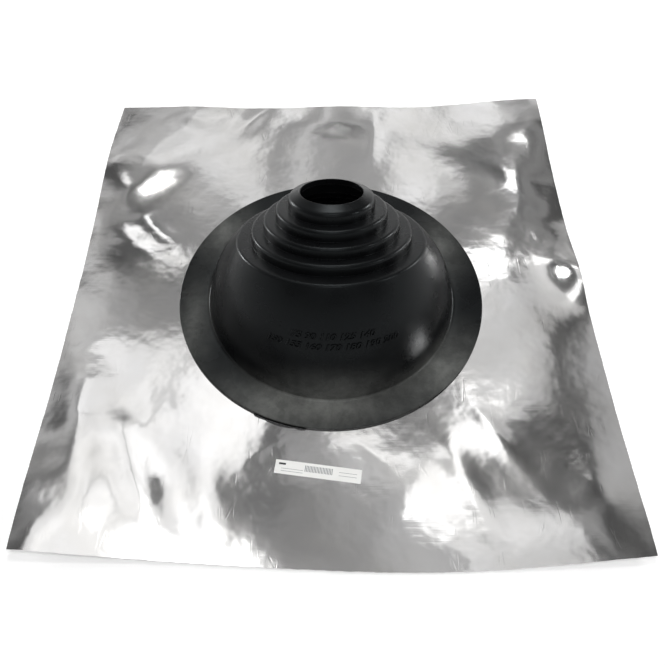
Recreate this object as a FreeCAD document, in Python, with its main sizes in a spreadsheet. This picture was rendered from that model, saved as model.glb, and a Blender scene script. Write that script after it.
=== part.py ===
"""Pre-angled pipe flashing boot on a soft aluminium flashing sheet.

A stepped black rubber boot closes a roof or wall sheet round a pipe. The smallest ring
that still grips the pipe is kept and the rings above it are cut away. The boot is one
moulding: a flat brim, an oblique dome, and four rings whose axis leans back towards +Y.
Its brim is glued over a round hole in a soft sheet, which is dressed to the roof by hand.

Millimetres, +Z up. The origin is at the middle of the sheet's underside, +Y points to the
sheet's upslope edge and the boot leans that way.
"""
import FreeCAD, Part, Sketcher
import math
import os

from FreeCAD import Placement, Rotation, Vector

X_AXIS = Vector(1, 0, 0)
Z_AXIS = Vector(0, 0, 1)
SHEET_DEGREE = 2

# name, value in millimetres, degrees or a count, meaning
SIZES = [
    ("sheet_width", 600.0, "flashing sheet across the slope"),
    ("sheet_length", 660.0, "flashing sheet along the slope, at its longest"),
    ("sheet_gauge", 0.8, "thickness of the soft aluminium"),
    ("sheet_hole_inset", 11.4, "how far the sheet's hole stays inside the dome's foot"),
    ("back_skew", 3.0, "how far the back left corner falls short of the back right one"),
    ("front_left_short", 21.0, "how far that corner falls short of the bowed front edge"),
    ("front_right_short", 12.5, "the same"),
    ("front_bow_side", 80.0, "place of the bow's peak, right of the middle"),
    ("front_bow_pull", 5.4, "how far the bow's control point lies past the edge"),
    ("pole_spacing", 24.0, "grid of the sheet's control points, at its widest"),
    ("flat_rim", 5.0, "how far the flat disc under the brim runs past it"),
    ("flat_fade", 80.0, "distance over which the flat turns to waves"),
    ("back_right_rise", 17.0, "how far that place has sprung up"),
    ("back_right_reach", 125.0, "distance over which it fades"),
    ("back_middle_rise", 5.0, "the same"),
    ("back_middle_reach", 75.0, "the same"),
    ("back_left_rise", 4.0, "the same"),
    ("back_left_reach", 62.0, "the same"),
    ("left_side_rise", 11.0, "the same"),
    ("left_side_reach", 95.0, "the same"),
    ("front_left_rise", 8.0, "the same"),
    ("front_left_reach", 95.0, "the same"),
    ("right_side_rise", 8.0, "the same"),
    ("right_side_reach", 46.0, "the same"),
    ("front_right_rise", 4.5, "the same"),
    ("front_right_reach", 90.0, "the same"),
    ("boot_offset", -9.6, "brim's centre along the slope"),
    ("brim_radius", 177.5, "outside of the brim"),
    ("brim_edge", 3.5, "thickness of the brim at its edge"),
    ("brim_root", 4.5, "thickness of the brim where the dome starts"),
    ("brim_width", 36.1, "how far the brim reaches past the dome's foot at the sides"),
    ("brim_land", 4.3, "level part of the brim's top in front of the dome's foot"),
    ("brim_edge_bevel", 1.0, "eased upper edge of the brim"),
    ("dome_base_shift", -4.3, "dome's base along the slope from the brim's centre"),
    ("dome_base_cove", 2.5, "filled corner between the brim and the dome"),
    ("dome_swell", 7.0, "how far the dome swells past a straight cone, halfway up"),
    ("dome_bands", 6, "bands that the outside of the dome is lofted in"),
    ("hollow_bands", 3, "the same for its inside"),
    ("shoulder_radius", 100.7, "outside of the dome under the rings"),
    ("shoulder_rise", 94.0, "shoulder's centre above the brim's underside"),
    ("shoulder_shift", 5.0, "shoulder's centre along the slope from the brim's"),
    ("shoulder_bevel", 1.6, "eased edge of the dome's shoulder"),
    ("lean", 20.9, "angle of the rings' axis from upright, in degrees"),
    ("wall", 3.0, "thickness of the rubber"),
    ("ring_count", 4, "rings above the shoulder"),
    ("ring_top_radius", 45.2, "outside of the top ring"),
    ("ring_step", 13.4, "how much wider each ring is than the one above"),
    ("ring_rise", 11.5, "height of each ring"),
    ("ring_bevel", 1.1, "eased upper edge of each ring"),
    ("crown_rise", 5.4, "height of the sloping crown round the opening"),
    ("opening_radius", 32.5, "opening for the smallest pipe"),
    ("lip_length", 6.0, "cylindrical lip that grips that pipe"),
    ("glue_film", 0.4, "adhesive between the brim and the sheet"),
    ("glue_inset", 4.0, "bare rim inside the adhesive's ring"),
    ("squeeze_out", 3.6, "adhesive pressed out past the brim's edge"),
    ("squeeze_length", 49.4, "the same, along the edge"),
    ("squeeze_turn", 18.0, "its middle, left of the front, in degrees"),
    ("label_length", 87.0, "paper label"),
    ("label_width", 14.5, "the same"),
    ("label_thickness", 0.15, "the same"),
    ("label_side", -14.4, "label's middle across the slope"),
    ("label_from_front", 98.4, "label's middle behind the sheet's front edge"),
    ("label_turn", -8.0, "label's turn on the sheet, in degrees"),
]


# Places where the sheet has sprung up, as shares of its half width and half length.
SPRINGS = [
    ("back_right", 1.0, 1.0),
    ("back_middle", 0.05, 1.0),
    ("back_left", -0.65, 1.0),
    ("left_side", -1.0, 0.65),
    ("front_left", -1.0, -0.85),
    ("right_side", 1.0, 0.05),
    ("front_right", 1.0, -0.96),
]

# The same derived sizes as read_sizes works out, for expressions.
DOME_BASE_TEXT = "(sizes.brim_radius - sizes.brim_width)"
LAND_RADIUS_TEXT = f"({DOME_BASE_TEXT} + abs(sizes.dome_base_shift) + sizes.brim_land)"
LABEL_PLACE_TEXT = "(sizes.label_from_front - sizes.sheet_length / 2)"


def make_sheet_of_sizes(doc):
    """Write every driving size into a spreadsheet, one alias to a row."""
    cells = doc.addObject("Spreadsheet::Sheet", "sizes")
    for row, (name, value, meaning) in enumerate(SIZES, start=1):
        cells.set(f"A{row}", meaning)
        cells.set(f"B{row}", str(value))
        cells.setAlias(f"B{row}", name)
    doc.recompute()
    return cells


def read_sizes(cells):
    """Return the driving sizes, and those that follow from them, by name."""
    size = {name: cells.get(name) for name, _, _ in SIZES}
    size["dome_base_radius"] = size["brim_radius"] - size["brim_width"]
    size["land_radius"] = size["dome_base_radius"] + abs(size["dome_base_shift"]) + size["brim_land"]
    size["label_place"] = size["label_from_front"] - size["sheet_length"] / 2
    return size


def origin_part(body, role):
    """Return the body's own origin plane or axis with the given role."""
    return next(item for item in body.Origin.OriginFeatures if item.Role == role)


def new_sketch(body, name, role, offset=Placement(), links=()):
    """Add a sketch on an origin plane, its offset bound to expressions."""
    sketch = body.newObject("Sketcher::SketchObject", name)
    sketch.AttachmentSupport = [(origin_part(body, role), "")]
    sketch.MapMode = "FlatFace"
    sketch.AttachmentOffset = offset
    for path, expression in links:
        sketch.setExpression(f"AttachmentOffset.{path}", expression)
    return sketch


def pin_point(sketch, geometry, end, place, expressions):
    """Hold one point of a sketch at a place given by two expressions."""
    for kind, value, expression in zip(("DistanceX", "DistanceY"), place, expressions):
        index = sketch.addConstraint(Sketcher.Constraint(kind, -1, 1, geometry, end, value))
        if expression is not None:
            sketch.setExpression(f"Constraints[{index}]", expression)


def add_polygon(sketch, corners):
    """Draw a closed outline; each corner is (x, y, x expression, y expression)."""
    count = len(corners)
    for index, (x, y, _, _) in enumerate(corners):
        nxt = corners[(index + 1) % count]
        sketch.addGeometry(Part.LineSegment(Vector(x, y, 0), Vector(nxt[0], nxt[1], 0)), False)
    for index, (x, y, x_text, y_text) in enumerate(corners):
        before = (index - 1) % count
        sketch.addConstraint(Sketcher.Constraint("Coincident", before, 2, index, 1))
        pin_point(sketch, index, 1, (x, y), (x_text, y_text))


def add_circle(sketch, radius, radius_text, centre=(0.0, 0.0), centre_text=(None, None)):
    """Draw a circle with its radius and centre bound to expressions."""
    index = sketch.addGeometry(Part.Circle(Vector(*centre, 0), Z_AXIS, radius), False)
    pin_point(sketch, index, 3, centre, centre_text)
    size = sketch.addConstraint(Sketcher.Constraint("Radius", index, radius))
    sketch.setExpression(f"Constraints[{size}]", radius_text)
    return index


def edges_where(shape, test):
    """Name the edges of a shape whose sampled points all pass a test."""
    names = []
    for index, edge in enumerate(shape.Edges, start=1):
        first, last = edge.ParameterRange
        samples = [edge.valueAt(first + (last - first) * part / 6) for part in range(7)]
        if all(test(point) for point in samples):
            names.append(f"Edge{index}")
    return names


def add_bevel(body, name, base, edge_names, size_text):
    """Bevel the named edges of the body's tip."""
    if not edge_names:
        raise ValueError(f"{name} found no edge to bevel")
    bevel = body.newObject("PartDesign::Chamfer", name)
    bevel.Base = (base, edge_names)
    bevel.setExpression("Size", size_text)
    return bevel


class Boot:
    """The one-piece rubber moulding, in its own frame on the brim's underside."""

    def __init__(self, doc, cells):
        self.doc = doc
        self.size = read_sizes(cells)
        self.body = doc.addObject("PartDesign::Body", "rubber_boot")
        self.body.Label = "rubber_boot"
        self.body.setExpression("Placement.Base.y", "sizes.boot_offset")
        self.body.setExpression("Placement.Base.z", "sizes.sheet_gauge + sizes.glue_film")
        self.rings = int(self.size["ring_count"])

    def ring_frame(self, point):
        """Return a point's distance from the rings' axis and its height over the shoulder."""
        lean = math.radians(self.size["lean"])
        axis = Vector(0, math.sin(lean), math.cos(lean))
        offset = point - Vector(0, self.size["shoulder_shift"], self.size["shoulder_rise"])
        height = offset.dot(axis)
        return (offset - axis * height).Length, height

    def brim(self):
        """Revolve the flat brim as a full disc, thinner at its edge."""
        size = self.size
        sketch = new_sketch(self.body, "brim_section", "XZ_Plane")
        add_polygon(sketch, [
            (0, 0, None, None),
            (size["brim_radius"], 0, "sizes.brim_radius", None),
            (size["brim_radius"], size["brim_edge"], "sizes.brim_radius", "sizes.brim_edge"),
            (size["land_radius"], size["brim_root"], LAND_RADIUS_TEXT, "sizes.brim_root"),
            (0, size["brim_root"], None, "sizes.brim_root"),
        ])
        disc = self.body.newObject("PartDesign::Revolution", "brim")
        disc.Profile = sketch
        disc.ReferenceAxis = (sketch, ["V_Axis"])
        disc.Angle = 360
        self.doc.recompute()

    def dome_sections(self, prefix, bands, inset=None):
        """Draw the circles that the dome is lofted through, from the brim up to the shoulder.

        Each circle leans further than the one below. An inset, given by its size's name, draws
        them smaller and drops the last one along the rings' axis by as much, so that the rubber
        over a hollow keeps its thickness.
        """
        size = self.size
        depth = size[inset] if inset else 0.0
        narrower = f" - sizes.{inset}" if inset else ""
        back = f"{narrower} * sin(sizes.lean)" if inset else ""
        down = f"{narrower} * cos(sizes.lean)" if inset else ""
        leaning = Placement(Vector(), Rotation(X_AXIS, -1))
        sketches = []
        for level in range(bands + 1):
            share = level / bands
            sketch = new_sketch(self.body, f"{prefix}_{level}", "XY_Plane", leaning, (
                ("Base.y", f"sizes.dome_base_shift * {1 - share} + (sizes.shoulder_shift{back}) * {share}"),
                ("Base.z", f"sizes.brim_root * {1 - share} + (sizes.shoulder_rise{down}) * {share}"),
                ("Rotation.Angle", f"-sizes.lean * {share}")))
            swell = 4 * share * (1 - share)
            radius = (size["dome_base_radius"] * (1 - share) + size["shoulder_radius"] * share
                      + size["dome_swell"] * swell - depth)
            add_circle(sketch, radius, f"{DOME_BASE_TEXT} * {1 - share} + sizes.shoulder_radius * {share}"
                                       f" + sizes.dome_swell * {swell}{narrower}")
            sketches.append(sketch)
        return sketches

    def dome(self):
        """Loft the oblique dome from the brim to the leaning shoulder."""
        sections = self.dome_sections("dome", int(self.size["dome_bands"]))
        loft = self.body.newObject("PartDesign::AdditiveLoft", "dome")
        loft.Profile = sections[0]
        loft.Sections = sections[1:]
        loft.Ruled = True
        self.doc.recompute()

    def stair(self, inset, inset_text):
        """List the corners of the rings' stair from the shoulder up, inset by the wall."""
        size = self.size
        corners = []
        for ring in range(self.rings):
            wider = self.rings - 1 - ring
            radius = size["ring_top_radius"] + size["ring_step"] * wider - inset
            radius_text = f"sizes.ring_top_radius + sizes.ring_step * {wider}{inset_text}"
            for level in (ring, ring + 1):
                height = size["ring_rise"] * level - inset
                corners.append((radius, height, radius_text, f"sizes.ring_rise * {level}{inset_text}"))
        return corners

    def ring_stack(self):
        """Revolve the stepped rings and the sloping crown about the leaning axis."""
        size = self.size
        top = size["ring_rise"] * self.rings + size["crown_rise"]
        top_text = f"sizes.ring_rise * {self.rings} + sizes.crown_rise"
        sketch = self.lean_sketch("ring_section")
        add_polygon(sketch, [(0, 0, None, None)] + self.stair(0.0, "") + [
            (size["opening_radius"], top, "sizes.opening_radius", top_text),
            (0, top, None, top_text),
        ])
        rings = self.body.newObject("PartDesign::Revolution", "rings")
        rings.Profile = sketch
        rings.ReferenceAxis = (sketch, ["V_Axis"])
        rings.Angle = 360
        self.doc.recompute()

    def lean_sketch(self, name):
        """Add a sketch in the upright middle plane, turned so that its Y runs up the rings."""
        turned = Placement(Vector(), Rotation(Z_AXIS, -1))
        return new_sketch(self.body, name, "YZ_Plane", turned, (
            ("Base.x", "sizes.shoulder_shift"), ("Base.y", "sizes.shoulder_rise"),
            ("Rotation.Angle", "-sizes.lean")))

    def ease_edges(self):
        """Bevel the moulded edges while the moulding is still solid inside."""
        size = self.size
        radii = [size["ring_top_radius"] + size["ring_step"] * wider
                 for wider in reversed(range(self.rings))]

        def near(value, wanted):
            return math.isclose(value, wanted, abs_tol=0.01)

        def on_ring(point, radius, height):
            place = self.ring_frame(point)
            return near(place[0], radius) and near(place[1], height)

        def on_ring_edge(point):
            return any(on_ring(point, radius, size["ring_rise"] * level)
                       for level, radius in enumerate(radii, start=1))

        def on_shoulder(point):
            return on_ring(point, size["shoulder_radius"], 0.0)

        def on_circle(point, centre_y, radius, height):
            return near(math.hypot(point.x, point.y - centre_y), radius) and near(point.z, height)

        def on_dome_base(point):
            return on_circle(point, size["dome_base_shift"], size["dome_base_radius"], size["brim_root"])

        def on_brim_edge(point):
            return on_circle(point, 0.0, size["brim_radius"], size["brim_edge"])

        for name, test in (("ring_bevel", on_ring_edge), ("shoulder_bevel", on_shoulder),
                           ("dome_base_cove", on_dome_base), ("brim_edge_bevel", on_brim_edge)):
            base = self.body.Tip
            add_bevel(self.body, name, base, edges_where(base.Shape, test), "sizes." + name)
            self.doc.recompute()

    def hollow(self):
        """Cut the inside: through the brim, up the dome, and up the rings to the lip."""
        size = self.size
        before = self.body.Shape.Volume
        floor = new_sketch(self.body, "floor_circle", "XY_Plane", links=(("Base.y", "sizes.dome_base_shift"),))
        add_circle(floor, size["dome_base_radius"] - size["wall"], f"{DOME_BASE_TEXT} - sizes.wall")
        mouth = self.body.newObject("PartDesign::Pocket", "floor_opening")
        mouth.Profile = floor
        mouth.Reversed = True
        mouth.setExpression("Length", "sizes.brim_root")
        self.doc.recompute()

        sections = self.dome_sections("hollow", int(size["hollow_bands"]), "wall")
        inside = self.body.newObject("PartDesign::SubtractiveLoft", "dome_hollow")
        inside.Profile = sections[0]
        inside.Sections = sections[1:]
        inside.Ruled = True
        self.doc.recompute()

        top = size["ring_rise"] * self.rings + size["crown_rise"]
        top_text = f"sizes.ring_rise * {self.rings} + sizes.crown_rise"
        sketch = self.lean_sketch("ring_hollow_section")
        add_polygon(sketch, [(0, -size["wall"], None, "-sizes.wall")]
                    + self.stair(size["wall"], " - sizes.wall") + [
            (size["opening_radius"], top - size["lip_length"], "sizes.opening_radius",
             top_text + " - sizes.lip_length"),
            (size["opening_radius"], top + size["wall"], "sizes.opening_radius", top_text + " + sizes.wall"),
            (0, top + size["wall"], None, top_text + " + sizes.wall"),
        ])
        bore = self.body.newObject("PartDesign::Groove", "ring_hollow")
        bore.Profile = sketch
        bore.ReferenceAxis = (sketch, ["V_Axis"])
        bore.Angle = 360
        self.doc.recompute()
        if self.body.Shape.Volume > before / 2:
            raise ValueError("the boot is not hollow")

    def build(self):
        """Make the moulding, feature by feature."""
        self.brim()
        self.dome()
        self.ring_stack()
        self.ease_edges()
        self.hollow()
        return self.body


class WavySheet:
    """The hand-dressed sheet: flat under the brim and the label, and sprung up at its edges."""

    def __init__(self, doc, cells):
        self.doc = doc
        self.size = read_sizes(cells)
        self.half_width = self.size["sheet_width"] / 2
        self.half_length = self.size["sheet_length"] / 2

    def flat_share(self, x, y):
        """Return 0 round the flats, rising smoothly to 1 over the fade away from them.

        A control point shapes the surface up to half the degree plus one of spacings away,
        so that much is kept flat past each flat's own edge.
        """
        size = self.size
        kept = (SHEET_DEGREE + 1) / 2 * math.sqrt(2) * size["pole_spacing"]
        brim_gap = math.hypot(x, y - size["boot_offset"]) - size["brim_radius"] - size["flat_rim"]
        label_gap = (math.hypot(x - size["label_side"], y - size["label_place"])
                     - math.hypot(size["label_length"], size["label_width"]) / 2)
        share = (min(brim_gap, label_gap) - kept) / size["flat_fade"]
        share = min(max(share, 0.0), 1.0)
        return share * share * (3 - 2 * share)

    def height(self, x, y):
        """Return the height of the sheet's underside over the flat, at one place."""
        size = self.size
        lift = 0.0
        for name, across, along in SPRINGS:
            gap = math.hypot(x - across * self.half_width, y - along * self.half_length)
            lift += size[name + "_rise"] * math.exp(-(gap / size[name + "_reach"]) ** 2)
        return lift * self.flat_share(x, y)

    def slab(self):
        """Return the waves as a slab of even upright thickness, a little larger than the sheet."""
        spacing = self.size["pole_spacing"]
        rows = []
        for half in (self.half_width, self.half_length):
            reach = half + spacing
            rows.append(clamped_grid(math.ceil(2 * reach / spacing), -reach, reach))
        (knots_x, mults_x, places_x), (knots_y, mults_y, places_y) = rows
        poles = [[Vector(x, y, self.height(x, y)) for y in places_y] for x in places_x]
        surface = Part.BSplineSurface()
        surface.buildFromPolesMultsKnots(poles, mults_x, mults_y, knots_x, knots_y, False, False,
                                         SHEET_DEGREE, SHEET_DEGREE)
        return surface.toShape().extrude(Z_AXIS * self.size["sheet_gauge"])

    def outline(self):
        """Return the sheet's plan: straight sides, a skewed back edge and a bowed front one."""
        size = self.size
        right, back = self.half_width, self.half_length
        front_left = Vector(-right, size["front_left_short"] - back, 0)
        front_right = Vector(right, size["front_right_short"] - back, 0)
        back_left = Vector(-right, back - size["back_skew"], 0)
        back_right = Vector(right, back, 0)
        bow = Part.BSplineCurve()
        peak = Vector(size["front_bow_side"], -back - size["front_bow_pull"], 0)
        bow.buildFromPoles([front_left, (front_left + peak) / 2, peak, (front_right + peak) / 2, front_right],
                           False, 3)
        edges = [bow.toShape(), Part.LineSegment(front_right, back_right).toShape(),
                 Part.LineSegment(back_right, back_left).toShape(),
                 Part.LineSegment(back_left, front_left).toShape()]
        return Part.Face(Part.Wire(edges))

    def waves(self):
        """Trim the wavy slab to the outline."""
        size = self.size
        gauge = size["sheet_gauge"]
        tallest = sum(size[name + "_rise"] for name, _, _ in SPRINGS)
        plan = self.outline()
        plan.translate(Z_AXIS * -gauge)
        feature = self.doc.addObject("Part::Feature", "sheet_waves")
        feature.Shape = self.slab().common(plan.extrude(Z_AXIS * (tallest + 3 * gauge)))
        return feature

    def disc(self, name, radius_text, place_text, past_text="0"):
        """Make an upright disc as thick as the sheet, or one that runs past both its faces."""
        disc = self.doc.addObject("Part::Cylinder", name)
        disc.setExpression("Radius", radius_text)
        disc.setExpression("Height", f"sizes.sheet_gauge + 2 * {past_text}")
        disc.setExpression("Placement.Base.y", place_text)
        disc.setExpression("Placement.Base.z", f"-{past_text}")
        return disc

    def patch(self, name, bottom_text, height_text):
        """Make a box on the label's outline. It turns about its corner, set back from its middle."""
        box = self.doc.addObject("Part::Box", name)
        turn = "sizes.label_turn"
        for side, text in (("Length", "sizes.label_length"), ("Width", "sizes.label_width"),
                           ("Height", height_text)):
            box.setExpression(side, text)
        box.Placement = Placement(Vector(), Rotation(Z_AXIS, 1))
        box.setExpression("Placement.Rotation.Angle", turn)
        box.setExpression("Placement.Base.x", f"sizes.label_side - cos({turn}) * sizes.label_length / 2"
                                              f" + sin({turn}) * sizes.label_width / 2")
        box.setExpression("Placement.Base.y", f"{LABEL_PLACE_TEXT} - sin({turn}) * sizes.label_length / 2"
                                              f" - cos({turn}) * sizes.label_width / 2")
        box.setExpression("Placement.Base.z", bottom_text)
        return box

    def build(self):
        """Set the two flats into the waves, and cut the round hole under the dome."""
        flats = [self.disc("brim_flat", "sizes.brim_radius + sizes.flat_rim", "sizes.boot_offset"),
                 self.patch("label_flat", "0", "sizes.sheet_gauge")]
        room = self.doc.addObject("Part::MultiFuse", "flats")
        room.Shapes = flats
        around = self.doc.addObject("Part::Cut", "waves_round_the_flats")
        around.Base = self.waves()
        around.Tool = room
        blank = self.doc.addObject("Part::MultiFuse", "sheet_blank")
        blank.Shapes = [around, room]
        sheet = self.doc.addObject("Part::Cut", "flashing_sheet")
        sheet.Label = "flashing_sheet"
        sheet.Base = blank
        sheet.Tool = self.disc("sheet_hole", f"{DOME_BASE_TEXT} - sizes.sheet_hole_inset",
                               "sizes.boot_offset + sizes.dome_base_shift", "sizes.sheet_gauge")
        return sheet

    def label(self):
        """Lay the thin paper label on its flat."""
        label = self.patch("paper_label", "sizes.sheet_gauge", "sizes.label_thickness")
        label.Label = "paper_label"
        return label


def clamped_grid(spans, low, high):
    """Return knots, their multiplicities, and the control places that keep the grid even."""
    step = (high - low) / spans
    knots = [low + step * index for index in range(spans + 1)]
    mults = [SHEET_DEGREE + 1] + [1] * (spans - 1) + [SHEET_DEGREE + 1]
    full = [low] * SHEET_DEGREE + knots + [high] * SHEET_DEGREE
    places = [sum(full[index + 1:index + 1 + SHEET_DEGREE]) / SHEET_DEGREE
              for index in range(spans + SHEET_DEGREE)]
    return knots, mults, places


def add_lens(sketch, length, length_text, bulge, bulge_text):
    """Draw two equal arcs that share their ends on the X axis and bulge to both sides."""
    ends = ((-length / 2, f"-{length_text} / 2"), (length / 2, f"{length_text} / 2"))
    first, last = (Vector(x, 0, 0) for x, _ in ends)
    radius = (length ** 2 / 4 + bulge ** 2) / (2 * bulge)
    radius_text = f"(pow({length_text}; 2) / 4 + pow({bulge_text}; 2)) / (2 * {bulge_text})"
    for rise in (bulge, -bulge):
        arc = sketch.addGeometry(Part.Arc(first, Vector(0, rise, 0), last), False)
        size = sketch.addConstraint(Sketcher.Constraint("Radius", arc, radius))
        sketch.setExpression(f"Constraints[{size}]", radius_text)
        starts_left = sketch.getPoint(arc, 1).x < 0
        for point, (x, x_text) in zip((1, 2), ends if starts_left else ends[::-1]):
            pin_point(sketch, arc, point, (x, 0), (x_text, None))


def build_adhesive(doc, cells):
    """Pad the thin ring of adhesive, with the lens of it that was pressed out at the front."""
    size = read_sizes(cells)
    body = doc.addObject("PartDesign::Body", "bonding_adhesive")
    body.Label = "bonding_adhesive"
    body.setExpression("Placement.Base.y", "sizes.boot_offset")
    body.setExpression("Placement.Base.z", "sizes.sheet_gauge")
    ring = new_sketch(body, "adhesive_ring", "XY_Plane")
    add_circle(ring, size["brim_radius"], "sizes.brim_radius")
    add_circle(ring, size["dome_base_radius"] + size["glue_inset"],
               f"{DOME_BASE_TEXT} + sizes.glue_inset",
               (0.0, size["dome_base_shift"]), (None, "sizes.dome_base_shift"))

    # The lens lies on the chord of the brim's edge between its two ends.
    chord = math.sqrt(size["brim_radius"] ** 2 - (size["squeeze_length"] / 2) ** 2)
    chord_text = "sqrt(pow(sizes.brim_radius; 2) - pow(sizes.squeeze_length / 2; 2))"
    lens = new_sketch(body, "adhesive_lens", "XY_Plane", Placement(Vector(), Rotation(Z_AXIS, 1)), (
        ("Base.x", f"-sin(sizes.squeeze_turn) * {chord_text}"),
        ("Base.y", f"-cos(sizes.squeeze_turn) * {chord_text}"),
        ("Rotation.Angle", "-sizes.squeeze_turn")))
    add_lens(lens, size["squeeze_length"], "sizes.squeeze_length",
             size["brim_radius"] + size["squeeze_out"] - chord,
             f"(sizes.brim_radius + sizes.squeeze_out - {chord_text})")
    for name, profile in (("adhesive_film", ring), ("adhesive_squeeze", lens)):
        pad = body.newObject("PartDesign::Pad", name)
        pad.Profile = profile
        pad.setExpression("Length", "sizes.glue_film")
        doc.recompute()
    return body


def check(doc, pieces):
    """Stop if an object failed, or a piece isn't one sound solid."""
    for item in doc.Objects:
        if "Invalid" in item.State or "Error" in item.State:
            raise RuntimeError(f"{item.Name} failed: {item.State}")
    for piece in pieces:
        shape = piece.Shape
        if shape.isNull() or not shape.isValid() or len(shape.Solids) != 1:
            raise RuntimeError(f"{piece.Label} is not one sound solid")


def main():
    """Build the document and write one STEP file for each piece."""
    doc = FreeCAD.newDocument("pipe_flashing_boot")
    cells = make_sheet_of_sizes(doc)
    waves = WavySheet(doc, cells)
    pieces = [Boot(doc, cells).build(), waves.build(), build_adhesive(doc, cells), waves.label()]
    doc.recompute()
    check(doc, pieces)
    os.makedirs("parts", exist_ok=True)
    for piece in pieces:
        piece.Shape.exportStep(f"parts/{piece.Label}.step")
        print(piece.Label, round(piece.Shape.Volume), "mm3")


main()
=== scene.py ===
"""Looks of a stepped rubber pipe flashing boot, glued over a hole in a soft aluminium sheet.

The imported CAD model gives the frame. The boot and the sheet are replaced by finer skins of the
same sizes, the adhesive keeps its CAD shape and gets the beads that were pressed out at the
front, and the label gets its print. Lengths are millimetres until a mesh is made from them.

The boot is a stack of circles. Each has a centre in the upright middle plane, a radius and a
lean, so the flat brim, the oblique dome and the leaning rings are one closed skin.
"""
from __future__ import annotations

import logging
import math
from dataclasses import dataclass
from enum import Enum

import bpy
import numpy as np
from mathutils import Matrix, Vector, noise

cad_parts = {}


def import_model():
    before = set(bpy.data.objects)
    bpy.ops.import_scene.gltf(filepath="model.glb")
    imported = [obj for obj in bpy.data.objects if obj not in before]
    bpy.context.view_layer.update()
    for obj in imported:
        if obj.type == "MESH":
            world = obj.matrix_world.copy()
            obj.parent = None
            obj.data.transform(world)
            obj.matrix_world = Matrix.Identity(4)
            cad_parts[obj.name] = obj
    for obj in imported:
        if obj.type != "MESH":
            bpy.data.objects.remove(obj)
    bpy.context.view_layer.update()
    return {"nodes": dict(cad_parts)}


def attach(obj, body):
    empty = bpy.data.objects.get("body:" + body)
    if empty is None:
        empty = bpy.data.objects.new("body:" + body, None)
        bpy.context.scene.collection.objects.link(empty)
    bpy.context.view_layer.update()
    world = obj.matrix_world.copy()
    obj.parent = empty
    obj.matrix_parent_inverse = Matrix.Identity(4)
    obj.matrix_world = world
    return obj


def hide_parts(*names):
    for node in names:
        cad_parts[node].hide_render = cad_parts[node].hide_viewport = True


LOG = logging.getLogger("flashing_boot")
MM = 0.001
BOOT_NODE = "rubber_boot"
SHEET_NODE = "flashing_sheet"
ADHESIVE_NODE = "bonding_adhesive"
LABEL_NODE = "paper_label"


# ---------------------------------------------------------------- small helpers

def linear(hex_colour: str) -> tuple[float, float, float, float]:
    """Turn an sRGB hex colour into linear RGBA.

    Args:
        hex_colour: Six hex digits, with or without a leading hash.

    Returns:
        Red, green, blue and alpha, each from 0 to 1.
    """
    digits = hex_colour.lstrip("#")
    values = [int(digits[start:start + 2], 16) / 255 for start in (0, 2, 4)]
    red, green, blue = (v / 12.92 if v <= 0.04045 else ((v + 0.055) / 1.055) ** 2.4 for v in values)
    return red, green, blue, 1.0


def feed(tree: bpy.types.NodeTree, node: bpy.types.Node, inputs: dict) -> None:
    """Feed a node's inputs.

    Args:
        tree: The node's tree.
        node: The node.
        inputs: Input socket name or index, to an output socket that feeds it or a constant.
    """
    for socket, value in inputs.items():
        if isinstance(value, bpy.types.NodeSocket):
            tree.links.new(value, node.inputs[socket])
        else:
            node.inputs[socket].default_value = value


def add_node(tree: bpy.types.NodeTree, kind: str, inputs: dict | None = None, **settings) -> bpy.types.Node:
    """Add a node with its inputs and settings.

    Args:
        tree: The node tree to add to.
        kind: The node's type name.
        inputs: Input socket name or index, to an output socket that feeds it or a constant.
        settings: Attributes of the node.

    Returns:
        The new node.
    """
    node = tree.nodes.new(kind)
    for name, value in settings.items():
        setattr(node, name, value)
    feed(tree, node, inputs or {})
    return node


def combine(tree: bpy.types.NodeTree, operation: str, *values, clamp: bool = False) -> bpy.types.NodeSocket:
    """Join numbers or sockets by a mathematical operation.

    Args:
        tree: The material's tree.
        operation: The operation's name.
        values: Two or three numbers or sockets.
        clamp: Whether the result is held between 0 and 1.

    Returns:
        The result.
    """
    return add_node(tree, "ShaderNodeMath", dict(enumerate(values)), operation=operation,
                    use_clamp=clamp).outputs[0]


def spread(tree: bpy.types.NodeTree, value: bpy.types.NodeSocket, source: tuple[float, float],
           target: tuple[float, float], curve: str = "LINEAR") -> bpy.types.NodeSocket:
    """Spread a value over another range, held at its ends.

    Args:
        tree: The material's tree.
        value: The value.
        source: The range that it comes from.
        target: The range that it goes to.
        curve: How it goes from end to end.

    Returns:
        The result.
    """
    return add_node(tree, "ShaderNodeMapRange", {
        "Value": value, "From Min": source[0], "From Max": source[1], "To Min": target[0],
        "To Max": target[1]}, interpolation_type=curve).outputs["Result"]


def clouds(tree: bpy.types.NodeTree, place: bpy.types.NodeSocket, size_mm: float, detail: float,
           roughness: float = 0.5, distortion: float = 0.0) -> bpy.types.NodeSocket:
    """Add soft noise.

    Args:
        tree: The material's tree.
        place: Where each point lies, in metres.
        size_mm: About how large its bumps are.
        detail: How many finer layers it has.
        roughness: How strong the finer layers are.
        distortion: How far it is pulled out of shape.

    Returns:
        The noise, from 0 to 1.
    """
    return add_node(tree, "ShaderNodeTexNoise", {
        "Vector": place, "Scale": 1000 / size_mm, "Detail": detail, "Roughness": roughness,
        "Distortion": distortion}).outputs[0]


def blend(tree: bpy.types.NodeTree, share: bpy.types.NodeSocket, under: bpy.types.NodeSocket | str,
          over: str) -> bpy.types.NodeSocket:
    """Mix a colour over another.

    Args:
        tree: The material's tree.
        share: How much of the upper colour shows, from 0 to 1.
        under: The lower colour, or a socket that gives it.
        over: The upper colour.

    Returns:
        The mixed colour.
    """
    base = linear(under) if isinstance(under, str) else under
    return add_node(tree, "ShaderNodeMix", {"Factor": share, 6: base, 7: linear(over)},
                    data_type="RGBA").outputs[2]


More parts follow.
